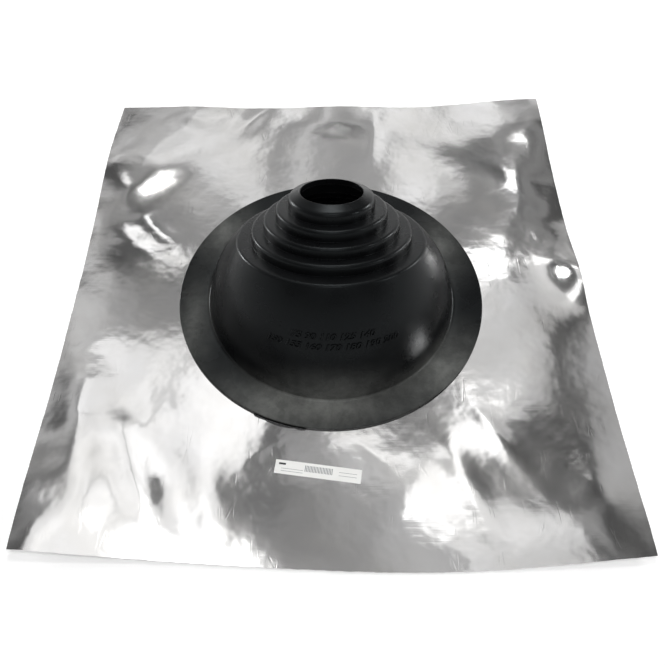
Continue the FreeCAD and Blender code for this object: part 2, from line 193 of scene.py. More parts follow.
def bump(tree: bpy.types.NodeTree, height: bpy.types.NodeSocket, strength: float, distance: float,
         normal: bpy.types.NodeSocket | None = None) -> bpy.types.NodeSocket:
    """Turn a height into a normal.

    Args:
        tree: The material's tree.
        height: The height.
        strength: How much of the bump shows, from 0 to 1.
        distance: The depth of the bump, in metres.
        normal: The normal that it lies over, if there is one.

    Returns:
        The normal.
    """
    inputs = {"Strength": strength, "Distance": distance, "Height": height}
    if normal:
        inputs["Normal"] = normal
    return add_node(tree, "ShaderNodeBump", inputs).outputs["Normal"]


def object_place(tree: bpy.types.NodeTree) -> bpy.types.NodeSocket:
    """Return the place on the object, in metres."""
    return add_node(tree, "ShaderNodeTexCoord").outputs["Object"]


def new_material(name: str) -> tuple[bpy.types.Material, bpy.types.NodeTree, bpy.types.Node]:
    """Start a material.

    Args:
        name: The material's name.

    Returns:
        The material, its node tree and its shader.
    """
    material = bpy.data.materials.new(name)
    material.use_nodes = True
    return material, material.node_tree, material.node_tree.nodes["Principled BSDF"]


def mesh_object(name: str, points: np.ndarray, faces: list, material: bpy.types.Material,
                sharp_degrees: float = 40.0) -> bpy.types.Object:
    """Make a smooth-shaded object at the origin, with its place in its mesh.

    Args:
        name: The object's name.
        points: One row of three millimetre coordinates to a vertex.
        faces: Vertex indices of each face.
        material: The finish of every face.
        sharp_degrees: Edges that turn by more than this stay sharp.

    Returns:
        The linked object.
    """
    mesh = bpy.data.meshes.new(name)
    mesh.from_pydata((np.asarray(points) * MM).tolist(), [], faces)
    mesh.materials.append(material)
    mesh.polygons.foreach_set("use_smooth", [True] * len(mesh.polygons))
    mesh.set_sharp_from_angle(angle=math.radians(sharp_degrees))
    mesh.validate()
    mesh.update()
    piece = bpy.data.objects.new(name, mesh)
    bpy.context.scene.collection.objects.link(piece)
    return piece


def loop_faces(rows: int, columns: int, close_rows: bool) -> list[tuple[int, int, int, int]]:
    """Return the quads of a grid of closed loops, one loop to a row.

    Args:
        rows: How many loops there are.
        columns: Vertices in each loop.
        close_rows: Whether the last loop joins the first.

    Returns:
        Vertex indices of each quad.
    """
    faces = []
    for row in range(rows if close_rows else rows - 1):
        upper = (row + 1) % rows
        for column in range(columns):
            after = (column + 1) % columns
            faces.append((row * columns + column, row * columns + after,
                          upper * columns + after, upper * columns + column))
    return faces


def finish_piece(piece: bpy.types.Object, slot: str, *nodes: str) -> None:
    """Let a piece ride on the part's only body.

    Args:
        piece: The piece.
        slot: The name of its material slot, which is not used.
        nodes: The CAD nodes that it stands for, if any.
    """
    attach(piece, "root")
    if nodes:
        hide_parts(*nodes)
    LOG.info("%s: %d faces", piece.name, len(piece.data.polygons))


# ---------------------------------------------------------------- finishes

@dataclass(frozen=True)
class DustAndSheenPatch:
    """A place where pale workshop dust and a painted sheen of overhead light lighten the rubber, fading to
    nothing at its reach.
    """

    centre: tuple[float, float, float]
    reach: tuple[float, float, float]
    strength: float


@dataclass(frozen=True)
class Epdm:
    """Compression-moulded black EPDM: a dull deep black with a soft satin sheen from the tool."""

    colour: str = "#070708"
    bloom_colour: str = "#101112"
    roughness: float = 0.27
    ior: float = 1.22
    sheen_colour: str = "#e6f1f4"
    grain_mm: float = 1.4
    grain_depth: float = 0.0002
    flow_mm: float = 34.0
    dust_and_sheen_colour: str = "#7b7c79"
    dust_and_sheen_mm: float = 16.0
    # The patches lie on the brim where it looks pale: partly pale dust, partly a painted sheen standing in
    # for the overhead light that the brim mirrors.
    dust_and_sheen_patches: tuple[DustAndSheenPatch, ...] = (
        DustAndSheenPatch((0.0, -158.0, 8.0), (125.0, 56.0, 60.0), 1.3),
        DustAndSheenPatch((118.0, -118.0, 6.0), (115.0, 95.0, 28.0), 0.9),
        DustAndSheenPatch((-70.0, -158.0, 6.0), (125.0, 78.0, 24.0), 0.75),
        DustAndSheenPatch((-132.0, 84.0, 6.0), (66.0, 92.0, 26.0), 0.75),
        DustAndSheenPatch((136.0, 62.0, 6.0), (55.0, 100.0, 26.0), 0.6),
        DustAndSheenPatch((-158.0, -60.0, 6.0), (44.0, 125.0, 22.0), 0.65),
    )

    def make(self, name: str) -> bpy.types.Material:
        """Build the material.

        Args:
            name: The material's name.

        Returns:
            The material.
        """
        material, tree, shader = new_material(name)
        place = object_place(tree)
        # The bloom of wax that rubber sweats out dulls it in broad faint clouds.
        bloom = clouds(tree, place, self.flow_mm, 3.0, 0.55)
        tint = blend(tree, bloom, self.colour, self.bloom_colour)
        # The skin of the mould's blasted steel, drawn a little coarser than it is so that it shows.
        grain = clouds(tree, place, self.grain_mm, 2.0)
        feed(tree, shader, {
            "IOR": self.ior,
            "Specular Tint": linear(self.sheen_colour),
            # The pale cover is dust and a painted sheen of overhead light together.
            "Base Color": blend(tree, self.dust_and_sheen(tree, place), tint, self.dust_and_sheen_colour),
            "Roughness": spread(tree, bloom, (0.3, 0.7), (self.roughness - 0.04, self.roughness + 0.07)),
            "Normal": bump(tree, grain, 0.05, self.grain_depth)})
        return material

    def dust_and_sheen(self, tree: bpy.types.NodeTree, place: bpy.types.NodeSocket) -> bpy.types.NodeSocket:
        """Add the dust's cover.

        Args:
            tree: The material's tree.
            Add the cover of pale dust and painted sheen.

        Returns:
            How much of the rubber the dust and the painted sheen hide, from 0 to 1.
        """
        cover = 0.0
        for patch in self.dust_and_sheen_patches:
            scale = tuple(1.0 / (reach * MM) for reach in patch.reach)
            shift = tuple(-centre * MM * size for centre, size in zip(patch.centre, scale))
            here = add_node(tree, "ShaderNodeMapping", {"Vector": place, "Location": shift, "Scale": scale})
            ball = add_node(tree, "ShaderNodeTexGradient", {"Vector": here.outputs["Vector"]},
                            gradient_type="QUADRATIC_SPHERE")
            cover = combine(tree, "ADD", cover,
                            combine(tree, "MULTIPLY", ball.outputs["Fac"], patch.strength))
        # Real dust is finer than this, which is as fine as shows from a step away; the same noise breaks up
        # the painted sheen.
        wiped = clouds(tree, place, self.dust_and_sheen_mm, 6.0, 0.7)
        thin = spread(tree, wiped, (0.38, 0.72), (0.55, 1.0))
        # Dust settles on what faces up and falls off walls; the painted sheen of the overhead light also
        # keeps to what faces up.
        normal = add_node(tree, "ShaderNodeNewGeometry").outputs["Normal"]
        up = add_node(tree, "ShaderNodeSeparateXYZ", {0: normal}).outputs["Z"]
        facing_up = spread(tree, up, (0.0, 0.3), (0.1, 1.0))
        return combine(tree, "MULTIPLY", cover, combine(tree, "MULTIPLY", thin, facing_up), clamp=True)


@dataclass(frozen=True)
class MillAluminium:
    """Soft rolled aluminium in its mill finish: nearly a mirror, with fine lines from the rolls."""

    colour: str = "#e6e6e8"
    stain_colour: str = "#d3d1cd"
    stain_mm: float = 90.0
    roughness: float = 0.072
    roll_line_mm: float = 1.1
    roll_line_stretch: float = 0.03
    roll_line_depth: float = 0.00003
    ripple_mm: float = 26.0
    ripple_depth: float = 0.00022
    scratch_mm: float = 24.0
    scratch_depth: float = 0.00002
    scratched_patch_mm: float = 22.0

    def make(self, name: str) -> bpy.types.Material:
        """Build the material.

        Args:
            name: The material's name.

        Returns:
            The material.
        """
        material, tree, shader = new_material(name)
        place = object_place(tree)
        # Handling leaves faint dull clouds of grease and oxide.
        stain = clouds(tree, place, self.stain_mm, 4.0, 0.6)
        # The rolls leave lines along the strip, so the pattern is stretched across the sheet.
        turned = add_node(tree, "ShaderNodeMapping", {
            "Vector": place, "Scale": (self.roll_line_stretch, 1.0, 1.0)}).outputs["Vector"]
        lines = clouds(tree, turned, self.roll_line_mm, 3.0)
        ripple = clouds(tree, place, self.ripple_mm, 2.0, 0.45)
        waved = bump(tree, ripple, 1.0, self.ripple_depth)
        rolled = bump(tree, lines, 0.22, self.roll_line_depth, waved)
        feed(tree, shader, {
            "Metallic": 1.0,
            "Base Color": blend(tree, stain, self.colour, self.stain_colour),
            "Roughness": spread(tree, stain, (0.35, 0.7), (self.roughness - 0.012, self.roughness + 0.05)),
            "Normal": bump(tree, self.scratches(tree, place), 0.5, self.scratch_depth, rolled)})
        return material

    def scratches(self, tree: bpy.types.NodeTree, place: bpy.types.NodeSocket) -> bpy.types.NodeSocket:
        """Add short thin handling scratches in two directions.

        Args:
            tree: The material's tree.
            place: Object coordinates.

        Returns:
            A height that is 1 away from the scratches and dips in them.
        """
        # Only small patches of the crack-like cells are let through, so each scratch is short.
        fade = spread(tree, clouds(tree, place, self.scratched_patch_mm, 1.0), (0.56, 0.66), (1.0, 0.0))
        heights = []
        for turn_degrees, stretch in ((35.0, 0.22), (-62.0, 0.16)):
            turned = add_node(tree, "ShaderNodeMapping", {
                "Vector": place, "Rotation": (0.0, 0.0, math.radians(turn_degrees)),
                "Scale": (1.0, stretch, 1.0)})
            cells = add_node(tree, "ShaderNodeTexVoronoi", {
                "Vector": turned.outputs["Vector"], "Scale": 1000 / self.scratch_mm},
                feature="DISTANCE_TO_EDGE")
            heights.append(spread(tree, cells.outputs["Distance"], (0.0, 0.02), (0.0, 1.0)))
        return combine(tree, "MAXIMUM", combine(tree, "MULTIPLY", *heights), fade)


@dataclass(frozen=True)
class PlainFinish:
    """A finish of one colour with a faint mottle: cured adhesive, label paper or printing ink."""

    colour: str
    mottle_colour: str
    roughness: float
    mottle_mm: float
    mottle_depth: float = 0.0001

    def make(self, name: str) -> bpy.types.Material:
        """Build the material.

        Args:
            name: The material's name.

        Returns:
            The material.
        """
        material, tree, shader = new_material(name)
        mottle = clouds(tree, object_place(tree), self.mottle_mm, 3.0)
        feed(tree, shader, {
            "Roughness": self.roughness,
            "Base Color": blend(tree, mottle, self.colour, self.mottle_colour),
            "Normal": bump(tree, mottle, 0.15, self.mottle_depth)})
        return material


# ---------------------------------------------------------------- rubber boot

@dataclass(frozen=True)
class Circle:
    """A circle with its centre in the upright middle plane, leaning back by an angle."""

    y: float
    z: float
    radius: float
    lean: float = 0.0

    def points(self, angles: np.ndarray) -> np.ndarray:
        """Draw the circle.

        Args:
            angles: Angles in radians, with the front at minus a right angle.

        Returns:
            One point to an angle.
        """
        along = self.radius * np.sin(angles)
        tilt = math.radians(self.lean)
        return np.stack([self.radius * np.cos(angles), self.y + along * math.cos(tilt),
                         self.z - along * math.sin(tilt)], axis=-1)


@dataclass
class RubberBoot:
    """The one-piece moulding, with the sizes of its CAD node."""

    centre_y: float = -9.6
    floor_z: float = 1.2
    brim_radius: float = 177.5
    brim_edge: float = 3.5
    brim_root: float = 4.5
    land_radius: float = 150.0
    base_radius: float = 141.4
    base_shift: float = -4.3
    swell: float = 7.0
    shoulder_radius: float = 100.7
    shoulder_rise: float = 94.0
    shoulder_shift: float = 5.0
    lean: float = 20.9
    wall: float = 3.0
    ring_radii: tuple[float, ...] = (85.4, 72.0, 58.6, 45.2)
    ring_rise: float = 11.5
    crown_rise: float = 5.4
    opening_radius: float = 32.5
    lip_length: float = 6.0
    around: int = 240
    dome_steps: int = 44
    round_steps: int = 7
    root_round: float = 0.3
    ring_round: float = 3.8
    figure_rise: float = 1.1
    figure_lean: float = 0.25
    figure_bevel: float = 0.05
    figure_bed: float = 0.1
    seam_rise: float = 0.32
    seam_half_width: float = 0.24

    def angles(self) -> np.ndarray:
        """Space the angles round the boot, with close ones at the front for the mould line.

        Returns:
            The angles, in radians.
        """
        even = np.linspace(-90.0, 270.0, self.around, endpoint=False)
        offsets = np.array([-2.0, -1.0, -0.5, 0.5, 1.0, 2.0]) * self.seam_half_width
        return np.radians(np.sort(np.concatenate([even, -90.0 + offsets])))

    def dome_circle(self, share: float, inset: float = 0.0) -> Circle:
        """Cut a section of the dome.

        Args:
            share: How far up it is, from 0 at the brim to 1 at the shoulder.
            inset: How far inside the outer face it lies.

        Returns:
            The section.
        """
        tilt = math.radians(self.lean)
        top_y = self.shoulder_shift - inset * math.sin(tilt)
        top_z = self.shoulder_rise - inset * math.cos(tilt)
        radius = (self.base_radius * (1 - share) + self.shoulder_radius * share
                  + 4 * self.swell * share * (1 - share) - inset)
        return Circle(self.centre_y + self.base_shift * (1 - share) + top_y * share,
                      self.floor_z + self.brim_root * (1 - share) + top_z * share,
                      radius, self.lean * share)

    def ring_circle(self, radius: float, height: float) -> Circle:
        """Make a circle about the rings' leaning axis.

        Args:
            radius: Its radius.
            height: Its height over the shoulder, along the axis.

        Returns:
            The circle.
        """
        tilt = math.radians(self.lean)
        return Circle(self.centre_y + self.shoulder_shift + height * math.sin(tilt),
                      self.floor_z + self.shoulder_rise + height * math.cos(tilt), radius, self.lean)

    def stair(self, inset: float) -> list[tuple[float, float]]:
        """List the corners of the rings' stair, from the shoulder up.

        Args:
            inset: How far inside the outer stair they lie.

        Returns:
            The radius and the height of each.
        """
        corners = []
        for level, radius in enumerate(self.ring_radii):
            corners.append((radius - inset, self.ring_rise * level - inset))
            corners.append((radius - inset, self.ring_rise * (level + 1) - inset))
        return corners

    def corners(self) -> list[tuple[Circle, float]]:
        """List the corners of the boot's wall, in order round its closed outline.

        Returns:
            The circle that each corner runs along, and its rounding.
        """
        base_y = self.centre_y + self.base_shift
        top = self.ring_rise * len(self.ring_radii)
        listed = [
            (Circle(base_y, self.floor_z, self.base_radius - self.wall), self.root_round),
            (Circle(self.centre_y, self.floor_z, self.brim_radius), 0.5),
            (Circle(self.centre_y, self.floor_z + self.brim_edge, self.brim_radius), 1.3),
            (Circle(self.centre_y, self.floor_z + self.brim_root, self.land_radius), 3.0),
            (self.dome_circle(0.0), 4.0),
        ]
        for step in range(2, self.dome_steps - 1):
            listed.append((self.dome_circle(step / self.dome_steps), 0.0))
        listed.append((self.dome_circle(1.0), 2.3))
        for index, (radius, height) in enumerate(self.stair(0.0)):
            listed.append((self.ring_circle(radius, height),
                           self.ring_round if index % 2 else self.root_round))
        listed += [
            (self.ring_circle(self.opening_radius, top + self.crown_rise), 0.8),
            (self.ring_circle(self.opening_radius, top + self.crown_rise - self.lip_length), 0.4),
        ]
        for radius, height in reversed(self.stair(self.wall)):
            listed.append((self.ring_circle(radius, height), self.root_round))
        inner_steps = self.dome_steps // 2
        for step in range(inner_steps, -1, -1):
            rounding = 1.0 if step == inner_steps else 0.0
            listed.append((self.dome_circle(step / inner_steps, self.wall), rounding))
        return listed

    def rounded(self, angles: np.ndarray) -> list[np.ndarray]:
        """Turn the corners into loops of points, with each rounding drawn point by point.

        A loop is added just outside each end of a rounding, so that its shading doesn't run
        over the flat beside it.

        Args:
            angles: The angles round the boot.

        Returns:
            One array of points to a loop, in order round the section.
        """
        # Two roundings share a side, so each takes less than half of it, with room for the guards.
        most, guard_most = 0.46, 0.03
        listed = self.corners()
        rings = [circle.points(angles) for circle, _ in listed]
        loops = []
        for index, (_, rounding) in enumerate(listed):
            here = rings[index]
            if rounding == 0.0:
                loops.append(here)
                continue
            before = rings[index - 1] - here
            after = rings[(index + 1) % len(rings)] - here
            reach_before = np.linalg.norm(before, axis=1, keepdims=True)
            reach_after = np.linalg.norm(after, axis=1, keepdims=True)
            start = here + before * np.minimum(rounding / reach_before, most)
            end = here + after * np.minimum(rounding / reach_after, most)
            guard = min(0.35, rounding * 0.4)
            loops.append(start + before * np.minimum(guard / reach_before, guard_most))
            for step in range(self.round_steps + 1):
                share = step / self.round_steps
                loops.append((1 - share) ** 2 * start + 2 * share * (1 - share) * here + share ** 2 * end)
            loops.append(end + after * np.minimum(guard / reach_after, guard_most))
        return loops

    def raise_seam(self, loops: list[np.ndarray], angles: np.ndarray) -> None:
        """Raise the mould's parting line along the front of the brim's top.

        Args:
            loops: The skin's loops, which are changed in place.
            angles: The angles round the boot.
        """
        offset = np.abs(np.degrees(angles) + 90.0)
        profile = np.clip(1.0 - offset / (2.0 * self.seam_half_width), 0.0, 1.0)
        centre = np.array([0.0, self.centre_y])
        for loop in loops:
            reach = np.linalg.norm(loop[:, :2] - centre, axis=1)
            height = loop[:, 2] - self.floor_z
            on_top = (height > self.brim_edge - 0.8) & (height < self.brim_root + 0.6)
            on_brim = on_top & (reach > self.base_radius + 1.0) & (reach < self.brim_radius - 0.2)
            loop[:, 2] += np.where(on_brim, self.seam_rise * profile, 0.0)

    def build(self, rubber: bpy.types.Material) -> bpy.types.Object:
        """Skin the boot and let it stand for its CAD node.

        Args:
            rubber: The boot's finish.

        Returns:
            The skin.
        """
        angles = self.angles()
        loops = self.rounded(angles)
        self.raise_seam(loops, angles)
        faces = loop_faces(len(loops), len(angles), close_rows=True)
        piece = mesh_object("boot_moulding", np.concatenate(loops), faces, rubber, 60.0)
        finish_piece(piece, "black_rubber", BOOT_NODE)
        return piece

    def dome_point(self, share: float, angle: float) -> np.ndarray:
        """Return a point of the dome's outside."""
        return self.dome_circle(share).points(np.array([angle]))[0]

    def emboss(self, name: str, text: str, share: float, height: float, width: float,
               rubber: bpy.types.Material) -> bpy.types.Object:
        """Raise a row of plain figures on the front of the dome.

        Args:
            name: The piece's name.
            text: The figures.
            share: Height of the row's middle, as a share of the way up the dome.
            height: Height of a figure.
            width: Length of the row.
            rubber: The boot's finish.

        Returns:
            The figures, bent onto the dome.
        """
        curve = bpy.data.curves.new(name, "FONT")
        curve.body = text
        curve.align_x = "CENTER"
        curve.align_y = "CENTER"
        curve.resolution_u = 3
        curve.shear = self.figure_lean
        curve.bevel_depth = self.figure_bevel
        curve.bevel_resolution = 0
        flat = bpy.data.objects.new(name, curve)
        bpy.context.scene.collection.objects.link(flat)
        shape = bpy.data.meshes.new_from_object(flat.evaluated_get(bpy.context.evaluated_depsgraph_get()))
        bpy.data.objects.remove(flat)
        places = np.empty(len(shape.vertices) * 3)
        shape.vertices.foreach_get("co", places)
        places = places.reshape(-1, 3)
        wide = places[:, 0].max() - places[:, 0].min()
        tall = places[:, 1].max() - places[:, 1].min()
        deep = places[:, 2].max()
        front, nearby = -math.pi / 2, 0.01
        slant = np.linalg.norm(self.dome_point(1.0, front) - self.dome_point(0.0, front))
        radius = self.dome_circle(share).radius
        bent = []
        for across, up, depth in places:
            angle = front + across / wide * width / radius
            level = share + up / tall * height / slant
            here = self.dome_point(level, angle)
            side = self.dome_point(level, angle + nearby) - here
            rise = self.dome_point(level + nearby, angle) - here
            normal = np.cross(side, rise)
            stand = self.figure_bed + self.figure_rise * depth / deep
            bent.append(here + normal / np.linalg.norm(normal) * stand)
        faces = [tuple(polygon.vertices) for polygon in shape.polygons]
        piece = mesh_object(name, np.array(bent), faces, rubber, 30.0)
        finish_piece(piece, "black_rubber")
        return piece


# ---------------------------------------------------------------- flashing sheet

def smooth(share: np.ndarray) -> np.ndarray:
    """Ease shares from 0 to 1, holding them at the ends."""
    share = np.clip(share, 0.0, 1.0)
    return share * share * (3 - 2 * share)


def noise_at(x: np.ndarray, y: np.ndarray, size: float, seed: float) -> np.ndarray:
    """Return smooth noise from -1 to 1 at many places, with bumps of about the given size."""
    return np.array([noise.noise(Vector((px / size, py / size, seed))) for px, py in zip(x, y)])


@dataclass(frozen=True)
class Spring:
    """A place where the sheet stands up from the flat.

    It fades away over its reach across, and over reach_along along its turned axis.
    """

    x: float
    y: float
    rise: float
    reach: float
    reach_along: float | None = None
    turn: float = 0.0

    def lift(self, x: np.ndarray, y: np.ndarray) -> np.ndarray:
        """Work out the lift at many places.

        Args:
            x: How far right each place is.
            y: How far back each place is.

        Returns:
            The lift at each.
        """
        turn = math.radians(self.turn)
        across = (x - self.x) * math.cos(turn) + (y - self.y) * math.sin(turn)
        along = (y - self.y) * math.cos(turn) - (x - self.x) * math.sin(turn)
        reach_along = self.reach_along or self.reach
        return self.rise * np.exp(-(across / self.reach) ** 2 - (along / reach_along) ** 2)


@dataclass
class FlashingSheet:
    """The hand-dressed sheet, with the sizes and the springs of its CAD node."""

    half_width: float = 300.0
    half_length: float = 330.0
    gauge: float = 0.8
    back_skew: float = 3.0
    front_left_short: float = 21.0
    front_right_short: float = 12.5
    bow_side: float = 80.0
    bow_pull: float = 5.4
    hole_radius: float = 130.0
    hole_y: float = -13.9
    boot_y: float = -9.6
    flat_radius: float = 182.5
    flat_fade: float = 80.0
    fine_fade: float = 85.0
    fold_size: float = 44.0
    pole_reach: float = 50.9
    label_x: float = -14.4
    label_y: float = -231.6
    label_reach: float = 44.1
    edge_wear: float = 0.8
    around: int = 620
    rows: int = 76
    front_steps: int = 120

    def springs(self) -> list[Spring]:
        """List the places that stand up, as in the CAD model.

        Returns:
            The places, most of them along the edge.
        """
        right, back = self.half_width, self.half_length
        return [
            Spring(right, back, 17.0, 125.0),
            Spring(0.05 * right, back, 5.0, 75.0),
            Spring(-0.65 * right, back, 4.0, 62.0),
            Spring(-right, 0.65 * back, 11.0, 95.0),
            Spring(-right, -0.85 * back, 8.0, 95.0),
            Spring(right, 0.05 * back, 8.0, 46.0),
            Spring(right, -0.96 * back, 4.5, 90.0),
        ]

    def dents(self) -> list[Spring]:
        """List the small dents and creases that bend what the sheet mirrors.

        Returns:
            The dents.
        """
        return [
            Spring(-205.0, -215.0, 1.5, 16.0, 85.0, 28.0),
            Spring(-265.0, -170.0, 1.3, 22.0, 70.0, 12.0),
            Spring(-120.0, -262.0, 1.0, 18.0, 55.0, 14.0),
            Spring(118.0, -205.0, 0.9, 13.0, 75.0, 22.0),
            Spring(165.0, -185.0, 0.8, 11.0, 62.0, 30.0),
            Spring(-185.0, 62.0, 0.9, 12.0, 60.0, 48.0),
            Spring(60.0, 262.0, 0.8, 12.0, 60.0, -8.0),
            Spring(255.0, -262.0, 1.1, 26.0, 34.0, 0.0),
            Spring(-112.0, 300.0, 1.2, 14.0, 40.0, -35.0),
        ]

    def crumples(self) -> list[Spring]:
        """List where the sheet was handled most.

        Returns:
            Each place, with the height of its crumples.
        """
        return [
            Spring(-225.0, -230.0, 1.1, 105.0),
            Spring(268.0, 150.0, 1.0, 62.0, 130.0),
            Spring(-275.0, 130.0, 0.9, 70.0, 110.0),
            Spring(-160.0, 310.0, 0.7, 90.0, 40.0),
            Spring(270.0, -270.0, 0.6, 70.0, 50.0),
        ]

    def gap(self, x: np.ndarray, y: np.ndarray, label_weight: float) -> np.ndarray:
        """Measure how far places lie from the brim or the label, whichever is nearer.

        Args:
            x: How far right each place is.
            y: How far back each place is.
            label_weight: What the distance from the label is multiplied by.

        Returns:
            The distance of each.
        """
        brim = np.hypot(x, y - self.boot_y) - self.flat_radius
        label = np.hypot(x - self.label_x, y - self.label_y) - self.label_reach
        return np.minimum(brim, label * label_weight)

    def ripple(self, x: np.ndarray, y: np.ndarray) -> np.ndarray:
        """Work out the slack of a soft sheet that was rolled up: broad shallow waves.

        Args:
            x: How far right each place is.
            y: How far back each place is.

        Returns:
            The height of each, which is never under the flat.
        """
        waves = np.zeros_like(x)
        for size, height, seed in ((120.0, 0.55, 3.1), (62.0, 0.16, 11.7), (31.0, 0.035, 23.3)):
            waves += height * (1.0 + noise_at(x, y, size, seed))
        return waves

    def height(self, x: np.ndarray, y: np.ndarray) -> np.ndarray:
        """Work out the sheet's shape.

        Args:
            x: How far right each place is.
            y: How far back each place is.

        Returns:
            The height of its underside over the flat at each.
        """
        lift = sum(spring.lift(x, y) for spring in self.springs())
        detail = self.ripple(x, y) + sum(dent.lift(x, y) for dent in self.dents())
        folds = 1.0 + noise_at(x, y, self.fold_size, 31.0)
        detail = detail + folds * sum(crumple.lift(x, y) for crumple in self.crumples())
        # Both fade out towards the brim and the label, which bear on a flat sheet.
        lift_share = smooth((self.gap(x, y, 1.0) - self.pole_reach) / self.flat_fade)
        detail_share = smooth(self.gap(x, y, 1.6) / self.fine_fade)
        return np.maximum(lift * lift_share + detail * detail_share, 0.0)

    def outline(self) -> np.ndarray:
        """Draw the sheet's edge, with its corners kept.

        Returns:
            Points round it, evenly spaced.
        """
        right, back = self.half_width, self.half_length
        front_left = np.array([-right, self.front_left_short - back])
        front_right = np.array([right, self.front_right_short - back])
        back_right = np.array([right, back])
        back_left = np.array([-right, back - self.back_skew])
        peak = np.array([self.bow_side, -back - self.bow_pull])
        poles = [front_left, (front_left + peak) / 2, peak, (front_right + peak) / 2, front_right]
        front = self.spline(poles, self.front_steps)
        sides = [front, np.array([front_right, back_right]), np.array([back_right, back_left]),
                 np.array([back_left, front_left])]
        lengths = [np.linalg.norm(np.diff(side, axis=0), axis=1).sum() for side in sides]
        points = []
        for side, length in zip(sides, lengths):
            count = round(self.around * length / sum(lengths))
            run = np.concatenate([[0.0], np.cumsum(np.linalg.norm(np.diff(side, axis=0), axis=1))])
            places = np.linspace(0.0, run[-1], count, endpoint=False)
            points.append(np.stack([np.interp(places, run, side[:, 0]),
                                    np.interp(places, run, side[:, 1])], axis=-1))
        return np.concatenate(points)

    @staticmethod
    def spline(poles: list[np.ndarray], count: int) -> np.ndarray:
        """Draw the cubic B-spline of five poles, clamped at both ends.

        Args:
            poles: The poles.
            count: How many points it gets.

        Returns:
            The points.
        """
        knots = [0.0] * 4 + [0.5] + [1.0] * 4
        points = []
        for place in np.linspace(0.0, 1.0, count):
            span = 3 if place < 0.5 else 4
            near = [poles[span - 3 + index] for index in range(4)]
            for level in range(1, 4):
                for index in range(3, level - 1, -1):
                    low = knots[span - 3 + index]
                    share = (place - low) / (knots[index + 1 + span - level] - low)
                    near[index] = (1 - share) * near[index - 1] + share * near[index]
            points.append(near[3])
        return np.array(points)

    def worn_edge(self, edge: np.ndarray) -> np.ndarray:
        """Draw the edge in by the snips' small wobbles.

        Args:
            edge: Points round the clean edge.

        Returns:
            Points round the worn one.
        """
        x, y = edge[:, 0], edge[:, 1]
        wobble = 0.5 + 0.5 * noise_at(x, y, 9.0, 5.0) + 0.35 * noise_at(x, y, 40.0, 9.0)
        away = np.linalg.norm(edge, axis=1, keepdims=True)
        return edge - edge / away * np.clip(wobble, 0.0, 1.0)[:, None] * self.edge_wear

    def build(self, aluminium: bpy.types.Material) -> bpy.types.Object:
        """Skin both faces of the sheet, from its hole to its edge, and close them.

        Args:
            aluminium: The sheet's finish.

        Returns:
            The skin, which stands for the CAD node.
        """
        edge = self.worn_edge(self.outline())
        centre = np.array([0.0, self.hole_y])
        spokes = edge - centre
        hole = centre + spokes / np.linalg.norm(spokes, axis=1, keepdims=True) * self.hole_radius
        shares = np.linspace(0.0, 1.0, self.rows)
        plan = np.concatenate([hole * (1 - share) + edge * share for share in shares])
        under = self.height(plan[:, 0], plan[:, 1])
        columns = len(edge)
        bottom = np.column_stack([plan, under])
        top = np.column_stack([plan, under + self.gauge])
        loops = [top[start:start + columns] for start in range(0, len(top), columns)]
        loops += [bottom[start:start + columns] for start in range(0, len(bottom), columns)][::-1]
        faces = [face[::-1] for face in loop_faces(len(loops), columns, close_rows=True)]
        piece = mesh_object("sheet_skin", np.concatenate(loops), faces, aluminium, 50.0)
        finish_piece(piece, "soft_aluminium", SHEET_NODE)
        return piece


# ---------------------------------------------------------------- adhesive and label

class GeometryTree:
    """A Geometry Nodes tree with named inputs, run once and turned into a plain mesh."""

    def __init__(self, name: str) -> None:
        """Start a tree with its output.

        Args:
            name: The tree's name.
        """
        self.tree = bpy.data.node_groups.new(name, "GeometryNodeTree")
        self.tree.interface.new_socket("Geometry", in_out="OUTPUT", socket_type="NodeSocketGeometry")
        self.sockets: dict[str, str] = {}
        self.values: dict[str, object] = {}
        self.inputs = self.tree.nodes.new("NodeGroupInput")
        self.output = self.tree.nodes.new("NodeGroupOutput")

    def add_input(self, name: str, kind: str, value: object) -> bpy.types.NodeSocket:
        """Add a named input with the value it is run with.

        Args:
            name: The input's name.
            kind: Its socket type.
            value: What the modifier sets it to.

        Returns:
            The socket that other nodes read.
        """
        item = self.tree.interface.new_socket(name, in_out="INPUT", socket_type=kind)
        self.sockets[name] = item.identifier
        self.values[name] = value
        return self.inputs.outputs[name]

    def run(self, name: str, geometry: bpy.types.NodeSocket,
            material: bpy.types.NodeSocket) -> bpy.types.Object:
        """Realise the geometry, set its material and turn the result into a plain mesh.

        Args:
            name: The piece's name.
            geometry: What the tree made.
            material: The finish input.

        Returns:
            A plain mesh object at the origin.
        """
        real = add_node(self.tree, "GeometryNodeRealizeInstances", {0: geometry})
        dressed = add_node(self.tree, "GeometryNodeSetMaterial", {"Geometry": real.outputs[0],
                                                                  "Material": material})
        self.tree.links.new(dressed.outputs[0], self.output.inputs[0])
        piece = bpy.data.objects.new(name, bpy.data.meshes.new(name + "_seed"))
        bpy.context.scene.collection.objects.link(piece)
        modifier = piece.modifiers.new(name, "NODES")
        modifier.node_group = self.tree
        for key, identifier in self.sockets.items():
            modifier[identifier] = self.values[key]
        made = bpy.data.meshes.new_from_object(piece.evaluated_get(bpy.context.evaluated_depsgraph_get()))
        piece.modifiers.clear()
        made.name = name
        piece.data = made
        return piece


